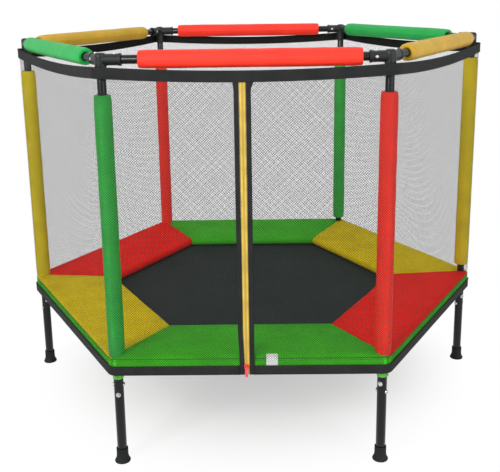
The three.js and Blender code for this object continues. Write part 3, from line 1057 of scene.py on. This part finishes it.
@dataclass
class SafetyPad:
    """The padded ring: six sewn panels, a green border with its skirt, piping and a plain label."""

    layout: Layout
    finishes: Finishes
    inner_r: float = 455.0
    rim: float = 21.7  # panels end here, out from the post line
    skirt_out: float = 22.0
    top_inner: float = 302.5
    top_rim: float = 313.0
    under_inner: float = 277.0
    under_rim: float = 293.7
    crown: float = 2.5
    seam: float = 6.0  # a seam pulls the cover in over this width
    edge: float = 10.0

    def panel(self, seed: float) -> bmesh.types.BMesh:
        """One padded panel of the front sector, crowned and drawn in at its seams."""
        inner_half = self.inner_r / 2 * MM
        inner_y = -self.inner_r * math.cos(TURN / 2) * MM
        rim = self.rim * MM
        stretch = self.layout.stretch(rim)

        def place(u: float, v: float) -> Vector:
            """Goes round the section with v, from the inner edge over the top and back below."""
            angle = 2 * math.pi * v
            t = 0.5 - 0.5 * math.cos(angle)
            s = math.sin((u - 0.5) * math.pi) * 0.9992
            inner = Vector((s * inner_half, inner_y, 0))
            outer, _, _ = self.layout.outline((s + 1) / 2 * stretch, rim)
            point = inner.lerp(outer, t)
            width = (inner - outer).length / MM
            top = self.top_inner + (self.top_rim - self.top_inner) * t
            under = self.under_inner + (self.under_rim - self.under_inner) * t
            near_edge = min(t, 1 - t) * width
            curl = math.sqrt(max(0.0, 1 - (1 - min(near_edge / self.edge, 1)) ** 2))
            half_width = (inner_half + (self.layout.side / 2 - inner_half) * t) / MM
            near_seam = (1 - abs(s)) * half_width
            tuck = math.sqrt(max(0.0, 1 - (1 - min(near_seam / self.seam, 1)) ** 2))
            middle, half = (top + under) / 2, (top - under) / 2
            if math.sin(angle) < 0:
                return Vector((point.x, point.y, (middle - half * curl) * MM))
            plump = self.crown * (4 * t * (1 - t)) ** 0.6 * (1 - s ** 6)
            where = Vector((point.x * 9, point.y * 9, seed))
            plump += 1.6 * noise.noise(where) * curl * tuck
            pucker = math.sin(point.x / MM / 4.5 + seed) * math.exp(-near_seam / 9)
            rise = (half + plump) * curl * (0.62 + 0.38 * tuck) + 0.35 * pucker * curl
            return Vector((point.x, point.y, (middle + rise) * MM))

        bm = draped(72, 68, (stretch, 0.45), place)
        ends = [edge for edge in bm.edges if edge.is_boundary]
        bmesh.ops.holes_fill(bm, edges=ends, sides=0)
        return bm

    def skirt(self) -> bmesh.types.BMesh:
        """The border that runs down from the panels round the whole pad."""
        offset = self.skirt_out * MM
        girth = 6 * self.layout.stretch(offset)
        low = self.layout.frame_z - 10 * MM
        high = (self.top_rim + self.under_rim) / 2 * MM

        def place(u: float, v: float) -> Vector:
            """Bulges a little over the pad's rim and hangs straight below it."""
            point, out, _ = self.layout.outline(u * girth % girth, offset)
            slack = 0.25 * noise.noise(point * 22 + Vector((0, 0, v * 1.5))) * (1 - v)
            belly = 0.35 * math.sin(math.pi * v)
            return point + out * (slack + belly) * MM + Vector((0, 0, low + (high - low) * v))

        return draped(480, 8, (girth, high - low), place)

    def piping(self, z: float) -> bmesh.types.BMesh:
        """The thin sewn cord between the panels and the border."""
        offset = self.skirt_out * MM - 0.2 * MM
        girth = 6 * self.layout.stretch(offset)
        r = 1.3 * MM

        def place(u: float, v: float) -> Vector:
            """Goes round the cord with v."""
            point, out, _ = self.layout.outline(u * girth % girth, offset)
            angle = 2 * math.pi * v
            return point + out * r * math.cos(angle) * 0.55 + Vector((0, 0, z + r * math.sin(angle)))

        return draped(480, 8, (girth, 2 * math.pi * r), place)

    def label(self) -> bmesh.types.BMesh:
        """A bare woven label sewn over the front border and up round the pad's rim."""
        middle, width = 58 * MM, 30 * MM
        low, turn_z, r = 279 * MM, 303.4 * MM, 11.3 * MM
        straight, arc = turn_z - low, 1.25
        length = straight + arc * r

        def place(u: float, v: float) -> Vector:
            """Hangs straight to the seam, then rounds the rim."""
            x = middle + (u - 0.5) * width
            angle = max(0.0, v * length - straight) / r
            offset = (self.skirt_out + 1.0) * MM - r * (1 - math.cos(angle))
            z = min(low + v * length, turn_z) + r * math.sin(angle)
            return Vector((x, -self.layout.apothem - offset, z))

        return draped(8, 24, (width, length), place)

    def build(self) -> None:
        """Builds the pad."""
        for sector, side in enumerate(SIDES):
            bm = self.panel(3.7 * sector)
            piece = finished(bm, f"pad_panel_{side}", self.finishes.cover(PAD_COVERS[sector]),
                             sector_turn(sector), 50.0)
            fit(piece, "pad_cover", "pad")
        skirt = finished(self.skirt(), "pad_border", self.finishes.cover(Cover.PAD_GREEN))
        fit(thicken(skirt, 0.9 * MM), "pad_cover", "pad")
        girth = 6 * self.layout.stretch(self.skirt_out * MM)
        seam_z = (self.top_rim + self.under_rim) / 2 * MM
        fit(finished(self.piping(seam_z), "pad_piping", self.finishes.get("green_stitch"),
                     sharp=80), "pad_cover")
        for name, z in (("pad_border_stitch_high", seam_z - 4 * MM),
                        ("pad_border_stitch_low", self.layout.frame_z - 6 * MM)):
            row = stitches(self.layout, name, self.finishes.get("green_stitch"),
                           (self.skirt_out + 0.65) * MM, z, 0.0, girth)
            fit(row, "pad_cover")
        label = finished(self.label(), "pad_label", self.finishes.get("white_label"))
        fit(thicken(label, 0.3 * MM), "pad_cover")


@dataclass
class Enclosure:
    """The net with its top band and hem, and the ties under it."""

    layout: Layout
    finishes: Finishes
    net_offset: float = 23.5
    band_offset: float = 25.6
    band_height: float = 28.0
    band_thick: float = 1.8
    band_top: float = 1055.0
    sag: float = 12.0
    hem_low: float = 261.0
    hem_height: float = 25.0
    zip_x: float = -8.0
    zip_half: float = 8.8
    binding: float = 12.0

    def hang(self, along: float) -> float:
        """How far the top edge hangs below its corners, in metres."""
        return self.sag * MM * max(0.0, 1 - (2 * along / self.layout.side) ** 2)

    def net(self, start: float, end: float, seed: float) -> bmesh.types.BMesh:
        """A panel of the net between two distances along the outline."""
        offset = self.net_offset * MM
        low, high = (self.hem_low + 2) * MM, (self.band_top - 3) * MM

        def place(u: float, v: float) -> Vector:
            """Lets the net belly in a little between the posts."""
            point, out, along = self.layout.outline(start + u * (end - start), offset)
            top = high - self.hang(along)
            z = low + (top - low) * v
            free = max(0.0, 1 - (2 * abs(along) / self.layout.side) ** 4)
            above = min(max((z - 0.33) / (top - 0.33), 0.0), 1.0)
            held = math.sin(math.pi * above) ** 0.5
            ripple = noise.noise(Vector((point.x * 5, point.y * 5, z * 1.2 + seed)))
            belly = -(2.0 + 2.5 * ripple) * free * held
            return point + out * belly * MM + Vector((0, 0, z))

        columns = max(4, round((end - start) / (16 * MM)))
        return draped(columns, 36, (end - start, high - low), place)

    def strap(self, start: float, end: float, low: float, height: float,
              hangs: bool) -> bmesh.types.BMesh:
        """A webbing strap along the outline, between two distances."""
        offset = self.band_offset * MM

        def place(u: float, v: float) -> Vector:
            """Follows the outline with slight waves."""
            point, out, along = self.layout.outline(start + u * (end - start), offset)
            drop = self.hang(along) if hangs else 0.0
            wave = 0.45 * noise.noise(Vector((point.x * 14, point.y * 14, low + v)))
            rise = low * MM + height * MM * v - drop
            return point + out * wave * MM + Vector((0, 0, rise))

        columns = max(4, round((end - start) / (10 * MM)))
        return draped(columns, 4, (end - start, height * MM), place)

    def tie(self) -> bmesh.types.BMesh:
        """A cloth tie wound round a leg, with its knot."""
        ring = rounded([(12.9, 0), (14.2, 0), (14.2, 12), (12.9, 12)], 0.6, 2)
        knot = bmesh.new()
        bmesh.ops.create_uvsphere(knot, u_segments=16, v_segments=10, radius=4.2 * MM)
        return joined([(turned(ring, 40, loop=True), Matrix()),
                       (knot, Matrix.Translation((-3 * MM, -14.6 * MM, 6 * MM)))])

    def build(self) -> None:
        """Builds the net, its straps and its ties."""
        offset = self.net_offset * MM
        stretch = self.layout.stretch(offset)
        gap = [self.layout.front_distance((self.zip_x + side * self.zip_half) * MM, offset)
               for side in (-1, 1)]
        spans = [("front_left_half", 0.0, gap[0]), ("front_right_half", gap[1], stretch)]
        spans += [(side, sector * stretch, (sector + 1) * stretch)
                  for sector, side in enumerate(SIDES) if sector > 0]
        for i, (name, start, end) in enumerate(spans):
            piece = finished(self.net(start, end, 4.1 * i), f"net_{name}",
                             self.finishes.get("net_mesh"))
            fit(piece, "net_mesh", "net")
        webbing = self.finishes.get("black_webbing")
        strap_offset = self.band_offset * MM
        girth = 6 * self.layout.stretch(strap_offset)
        low = self.band_top - self.band_height
        band = finished(self.strap(0.0, girth - WELD, low, self.band_height, True), "top_binding",
                        webbing)
        fit(thicken(band, self.band_thick * MM), "black_webbing", "top_band")
        reach = self.zip_half + self.binding
        ends = [self.layout.front_distance((self.zip_x + x) * MM, strap_offset)
                for x in (3.4 - reach, reach)]  # the left end follows its binding inwards
        run = girth - (ends[1] - ends[0])
        hem = finished(self.strap(ends[1], ends[1] + run, self.hem_low, self.hem_height, False),
                       "net_hem", webbing)
        fit(thicken(hem, self.band_thick * MM), "black_webbing", "hem_band")
        thread = self.finishes.get("dark_stitch")
        face = (self.band_offset + self.band_thick / 2 + 0.35) * MM
        for name, z in (("top_binding_stitch_high", self.band_top - 3),
                        ("top_binding_stitch_low", low + 3)):
            fit(stitches(self.layout, name, thread, face, z * MM, 0.0,
                         6 * self.layout.stretch(face), self.hang), "black_webbing")
        fit(stitches(self.layout, "net_hem_stitch", thread, face,
                     (self.hem_low + self.hem_height - 3) * MM,
                     ends[1] + 2 * MM, run - 4 * MM), "black_webbing")
        for sector in (0, 1):
            place = self.layout.at_corner(sector, (self.hem_low - 18.0) * MM)
            tie = finished(self.tie(), f"pad_tie_{CORNERS[sector]}",
                           self.finishes.get("green_tie"), place)
            fit(tie, "pad_cover")


@dataclass
class ZipDoor:
    """The zip in the front of the net: tape, bindings, teeth, slider and pull."""

    layout: Layout
    finishes: Finishes
    enclosure: Enclosure
    pull_pin: Vector  # where the pull's pin crosses the slider
    tape: float = 17.0
    pull_in: float = 3.5  # the left binding closes in over the tape near the slider
    flare: float = 6.0
    teeth_pitch: float = 3.0

    def strip(self, x_low: Callable[[float], float], x_high: Callable[[float], float], offset: float,
              low: float, high: float, rows: int) -> bmesh.types.BMesh:
        """A flat strip of the front side.

        Args:
            x_low: Its left edge at a height, in millimetres.
            x_high: Its right edge at a height.
            offset: Out from the post line, in millimetres.
            low: Lower end.
            high: Upper end.
            rows: Cells up.

        Returns:
            The strip.
        """
        y = -self.layout.apothem - offset * MM

        def place(u: float, v: float) -> Vector:
            """Waves very slightly, as sewn tape does."""
            z = low + (high - low) * v
            x = x_low(z) + (x_high(z) - x_low(z)) * u
            wave = 0.2 * math.sin(z / 37) * math.sin(math.pi * v)
            return Vector((x * MM, y + wave * MM, z * MM))

        return draped(6, rows, ((x_high(600) - x_low(600)) * MM, (high - low) * MM), place)

    def slider(self) -> bmesh.types.BMesh:
        """The slider: a shield-shaped plate with rolled sides and a bridge for the pull."""
        low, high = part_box("zip_slider")
        width, height = (high.x - low.x), (high.z - low.z)
        depth = 3.4 * MM
        middle = (low + high) / 2
        plate = bmesh.new()
        bmesh.ops.create_cube(plate, size=1.0,
                              matrix=Matrix.Diagonal((width, depth, height, 1)))
        bmesh.ops.subdivide_edges(plate, edges=plate.edges, cuts=3, use_grid_fill=True)
        for vert in plate.verts:
            share = vert.co.z / height + 0.5
            vert.co.x *= 0.72 + 0.28 * ease(share * 1.3)
            vert.co.z += 1.2 * MM * (1 - (2 * vert.co.x / width) ** 2) * (1 if share > 0.9 else 0)
            front = vert.co.y < 0
            vert.co.y += 0.8 * MM * (2 * vert.co.x / width) ** 2 if front else 0.0
        bmesh.ops.bevel(plate, geom=[e for e in plate.edges if e.calc_face_angle(0) > 0.8],
                        offset=0.7 * MM, segments=3, profile=0.5, affect="EDGES", material=-1)
        parts = [(plate, Matrix.Translation((middle.x, high.y - depth / 2, middle.z)))]
        for side in (-1, 1):
            ear = bmesh.new()
            bmesh.ops.create_cube(ear, size=1.0,
                                  matrix=Matrix.Diagonal((1.3 * MM, 5.4 * MM, 5.6 * MM, 1)))
            bmesh.ops.bevel(ear, geom=ear.edges, offset=0.5 * MM, segments=2, profile=0.5,
                            affect="EDGES", material=-1)
            at = (middle.x + side * 4.95 * MM, high.y - depth - 2.2 * MM, middle.z)
            parts.append((ear, Matrix.Translation(at)))
        pin = turned([(0, -5.2), (0.9, -5.2), (0.9, 5.2), (0, 5.2)], 16)
        pin_y = self.pull_pin.y
        parts.append((pin, Matrix.Translation((middle.x, pin_y, middle.z)) @ lying()))
        return joined(parts)

    def pull(self) -> bmesh.types.BMesh:
        """The pull: an eye on the pin and a waisted tab with a ribbed grip."""
        low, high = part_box("zip_pull")
        pivot = self.pull_pin
        width, length = high.x - low.x, pivot.z - low.z
        tab = bmesh.new()
        bmesh.ops.create_cube(tab, size=1.0,
                              matrix=Matrix.Diagonal((width, 2.0 * MM, length - 2.2 * MM, 1)))
        bmesh.ops.subdivide_edges(tab, edges=tab.edges, cuts=7, use_grid_fill=True)
        for vert in tab.verts:
            share = 0.5 - vert.co.z / (length - 2.2 * MM)
            waist = 0.7 + 0.3 * ease(abs(share - 0.35) * 2.4)
            vert.co.x *= waist * (1 - 0.35 * max(0.0, share - 0.85) / 0.15)
            grip = 0.5 < share < 0.95
            vert.co.y *= 1.0 + (0.22 * math.sin(share * 60) if grip else 0.0)
        bmesh.ops.bevel(tab, geom=[e for e in tab.edges if e.calc_face_angle(0) > 0.8],
                        offset=0.5 * MM, segments=2, profile=0.5, affect="EDGES", material=-1)
        eye = turned(rounded([(1.2, -3.9), (2.4, -3.9), (2.4, 3.9), (1.2, 3.9)], 0.3, 2), 24,
                     loop=True)
        drop = (length - 2.2 * MM) / 2 + 2.0 * MM
        return joined([
            (tab, Matrix.Translation(pivot - Vector((0, 0, drop)))),
            (eye, Matrix.Translation(pivot) @ lying()),
        ])

    def teeth(self, low: float, high: float) -> bmesh.types.BMesh:
        """Two rows of moulded teeth that mesh down the middle of the tape."""
        whole = bmesh.new()
        y = -self.layout.apothem - 24.0 * MM
        for i in range(int((high - low) / self.teeth_pitch * 2)):
            side = -1 if i % 2 else 1
            at = Matrix.Translation(((self.enclosure.zip_x + side * 1.1) * MM, y,
                                     (low + (i + 0.5) * self.teeth_pitch / 2) * MM))
            shape = Matrix.Diagonal((3.4 * MM, 0.9 * MM, self.teeth_pitch * 0.4 * MM, 1))
            bmesh.ops.create_cube(whole, size=1.0, matrix=at @ shape)
        return whole

    def build(self) -> None:
        """Builds the zip."""
        centre = self.enclosure.zip_x
        half = self.tape / 2
        low, high = self.enclosure.hem_low, 1040.0
        band_low = self.enclosure.band_top - self.enclosure.sag - self.enclosure.band_height

        def shut(z: float) -> float:
            """How far the left side closes in towards the slider."""
            return self.pull_in * ease((395 - z) / 105)

        def open_out(z: float) -> float:
            """How far a binding flares where it meets the top band."""
            return self.flare * ease((z - band_low + 24) / 24) ** 2

        tape = finished(self.strip(lambda z: centre - half, lambda z: centre + half, 23.2, low, high,
                                   160), "zip_cloth_tape", self.finishes.get("mustard_tape"))
        fit(thicken(tape, 0.7 * MM), "zip_tape", "zip_tape")
        inner = half + 0.2
        outer = inner + self.enclosure.binding
        edges = {
            "left": (lambda z: centre - outer + shut(z) - open_out(z) * 0.4,
                     lambda z: centre - inner + shut(z)),
            "right": (lambda z: centre + inner, lambda z: centre + outer + open_out(z)),
        }
        for side, (first, last) in edges.items():
            strip = finished(self.strip(first, last, 25.3, low, band_low + 2, 160),
                             f"zip_edge_{side}", self.finishes.get("black_webbing"))
            fit(thicken(strip, 1.1 * MM), "black_webbing", f"zip_binding_{side}")
        fit(finished(self.teeth(low + 2, band_low + 6), "zip_tooth_rows",
                     self.finishes.get("zip_teeth")), "zip_tape")
        fit(finished(self.slider(), "slider_body", self.finishes.get("red_enamel")), "red_slider",
            "zip_slider", body="zip_slider")
        fit(finished(self.pull(), "slider_pull", self.finishes.get("red_pull")), "red_slider",
            "zip_pull", body="zip_pull")


@dataclass
class Studio:
    """A pale floor that fades to white, soft lamps and the camera."""

    lens: float = 58.26
    shift_y: float = -0.1158
    place: tuple[float, float, float] = (0.0327, -2.5334, 1.2409)
    pitch: float = 0.23568
    yaw: float = 0.01306
    roll: float = -0.01441

    def camera(self) -> None:
        """Sets up the camera."""
        data = bpy.data.cameras.new("camera")
        data.lens = self.lens
        data.sensor_width = 36.0
        data.shift_y = self.shift_y
        data.clip_end = 60.0
        camera = bpy.data.objects.new("camera", data)
        bpy.context.scene.collection.objects.link(camera)
        turn = (Matrix.Rotation(self.yaw, 4, "Z")
                @ Matrix.Rotation(math.pi / 2 - self.pitch, 4, "X")
                @ Matrix.Rotation(self.roll, 4, "Z"))
        camera.matrix_world = Matrix.Translation(self.place) @ turn
        bpy.context.scene.camera = camera

    def lamp(self, name: str, place: tuple[float, float, float], size: float,
             watts: float) -> None:
        """Adds a square soft lamp that looks at the trampoline's middle."""
        data = bpy.data.lights.new(name, "AREA")
        data.size = size
        data.energy = watts
        lamp = bpy.data.objects.new(name, data)
        lamp.location = place
        aim = Vector((0, 0, 0.6)) - Vector(place)
        lamp.rotation_euler = aim.to_track_quat("-Z", "Y").to_euler()
        bpy.context.scene.collection.objects.link(lamp)

    def seen(self, tree: bpy.types.NodeTree) -> Any:
        """1 on rays from the camera, from a mirror or through glass, and 0 on the rest."""
        path = add_node(tree, "LightPath")
        most = add_node(tree, "Math", {0: path.outputs["Is Camera Ray"],
                                       1: path.outputs["Is Glossy Ray"]}, operation="MAXIMUM")
        return add_node(tree, "Math", {0: most.outputs[0],
                                       1: path.outputs["Is Transmission Ray"]},
                        operation="MAXIMUM").outputs[0]

    def world(self, level: float) -> None:
        """Even white light all round, with a pure white background behind it."""
        world = bpy.data.worlds.new("world")
        bpy.context.scene.world = world
        world.use_nodes = True
        tree = world.node_tree
        tree.nodes.clear()
        strength = add_node(tree, "MapRange", {"Value": self.seen(tree), "To Min": level,
                                               "To Max": 1.0})
        back = add_node(tree, "Background", {"Color": (1, 1, 1, 1),
                                             "Strength": strength.outputs[0]})
        add_node(tree, "OutputWorld", {"Surface": back.outputs[0]})

    def floor(self) -> None:
        """A pale floor that keeps the shadow near the feet and fades to white far away."""
        bm = bmesh.new()
        bmesh.ops.create_grid(bm, x_segments=1, y_segments=1, size=20.0)
        material = bpy.data.materials.new("floor")
        material.use_nodes = True
        tree = material.node_tree
        tree.nodes.clear()
        place = add_node(tree, "TexCoord").outputs["Object"]
        far = add_node(tree, "VectorMath", {0: place}, operation="LENGTH")
        fade = add_node(tree, "MapRange", {
            "Value": far.outputs["Value"], "From Min": 0.3, "From Max": 0.74,
            "To Min": 0.46, "To Max": 1.0,
        }, interpolation_type="SMOOTHSTEP")
        share = add_node(tree, "Math", {0: fade.outputs[0], 1: self.seen(tree)},
                         operation="MULTIPLY")
        pale = add_node(tree, "BsdfDiffuse", {"Color": linear("f2f2f1")})
        white = add_node(tree, "Emission", {"Color": (1, 1, 1, 1), "Strength": 1.0})
        mix = add_node(tree, "MixShader", {0: share.outputs[0], 1: pale.outputs[0],
                                           2: white.outputs[0]})
        add_node(tree, "OutputMaterial", {"Surface": mix.outputs[0]})
        floor = finished(bm, "floor", material)

    def build(self) -> None:
        """Sets up the stage."""
        bpy.context.scene.view_settings.view_transform = "Standard"
        self.camera()
        self.world(0.55)
        self.floor()
        self.lamp("key", (-2.4, -3.6, 2.4), 1.6, 128.0)
        self.lamp("fill", (2.8, -3.0, 1.8), 2.0, 56.0)
        self.lamp("top", (0.3, 0.6, 4.2), 2.6, 20.0)


def main() -> None:
    """Builds the trampoline around its frame."""
    logging.basicConfig(level=logging.INFO, format="%(name)s %(message)s")
    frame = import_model()
    Studio().build()
    layout = Layout.read(frame["nodes"])
    finishes = Finishes()
    SteelFrame(layout, finishes).build()
    CornerJoints(layout, finishes).build()
    FoamSleeves(layout, finishes).build()
    JumpMat(layout, finishes).build()
    SafetyPad(layout, finishes).build()
    enclosure = Enclosure(layout, finishes)
    enclosure.build()
    swing = next(joint for joint in frame["joints"] if joint["name"] == "pull_swing")
    ZipDoor(layout, finishes, enclosure, Vector(swing["pos_m"])).build()


if __name__ == "__main__":
    main()
